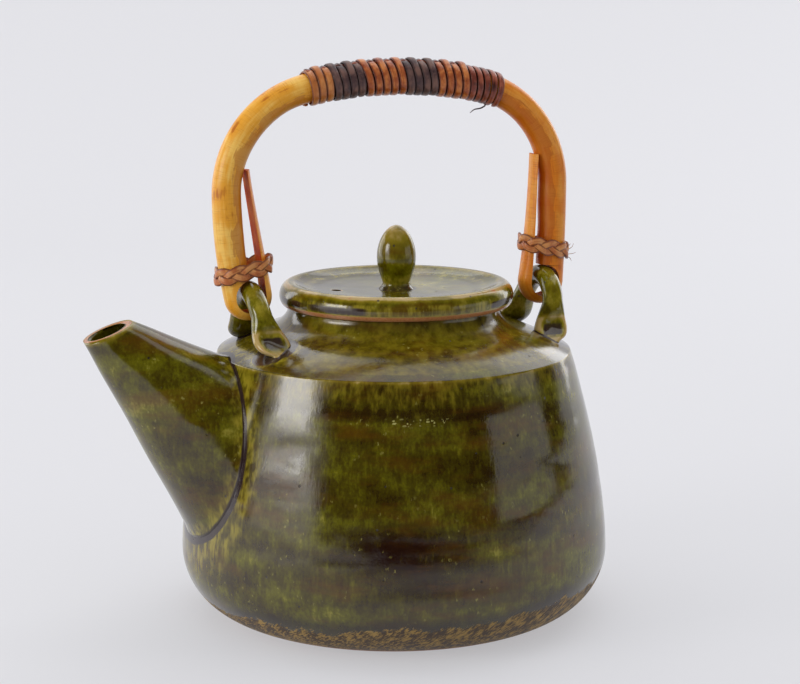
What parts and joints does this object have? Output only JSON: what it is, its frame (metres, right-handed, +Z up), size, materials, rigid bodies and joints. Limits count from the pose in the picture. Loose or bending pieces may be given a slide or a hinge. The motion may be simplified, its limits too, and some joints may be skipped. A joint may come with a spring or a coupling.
{
  "type": "teapot",
  "caption": "Squat teapot with a straight conical spout on its wall, a dished lid with an egg-shaped knob, and a wrapped cane bow handle that hangs by hooks in arched lugs.",
  "frame": {"origin": "centre of the flat base's underside, on the axis on which the pot was thrown", "axes": "+Z up; -X towards the spout; the bow handle stands in the XZ plane at rest, and +Y completes a right-handed frame"},
  "size_m": [0.1846, 0.15, 0.1931],
  "materials": {
    "pot_glaze": "glossy olive to dark brown glaze over stoneware, thin and tan at the edges, rough and bare at the foot",
    "lug_glaze": "glossy olive glaze, worn thin to tan at the pressed feet",
    "lid_glaze": "glossy olive glaze, tan along the rim, bare orange clay under the edge",
    "cane": "smooth honey-coloured cane bark with a soft shine",
    "cut_cane": "shaved cane, reddish on the cut face",
    "plait": "dry three-strand plait of split cane",
    "tan_strand": "split cane strand, tan",
    "dark_strand": "split cane strand, stained almost black",
    "red_strand": "split cane strand, stained red-brown",
    "maroon_strand": "split cane strand, stained maroon"
  },
  "bodies": {
    "pot": {"pot_foot": "pot_glaze", "pot_bowl": "pot_glaze", "pot_wall": "pot_glaze", "pot_shoulder": "pot_glaze", "strainer": "pot_glaze", "spout": "pot_glaze", "spout_side_lug": "lug_glaze", "rear_lug": "lug_glaze"},
    "lid": {"lid": "lid_glaze", "lid_flange": "lid_glaze", "lid_knob": "lid_glaze"},
    "handle": {"cane_bow": "cane", "spout_side_hook": "cut_cane", "rear_hook": "cut_cane", "spout_side_binding": "plait", "rear_binding": "plait", "grip_core_strip": "tan_strand", "grip_wrap_tan": "tan_strand", "grip_wrap_dark_1": "dark_strand", "grip_wrap_red_1": "red_strand", "grip_wrap_dark_2": "dark_strand", "grip_wrap_red_2": "red_strand", "grip_wrap_maroon": "maroon_strand"}
  },
  "joints": [
    {"name": "lid_lift", "type": "slide", "parent": "pot", "child": "lid", "axis": [0, 0, 1], "range_m": [0, 0.03]},
    {"name": "handle_swing", "type": "hinge", "parent": "pot", "child": "handle", "pos_m": [0, 0, 0.10181], "axis": [1, 0, 0], "range_deg": [-36, 36]}
  ]
}
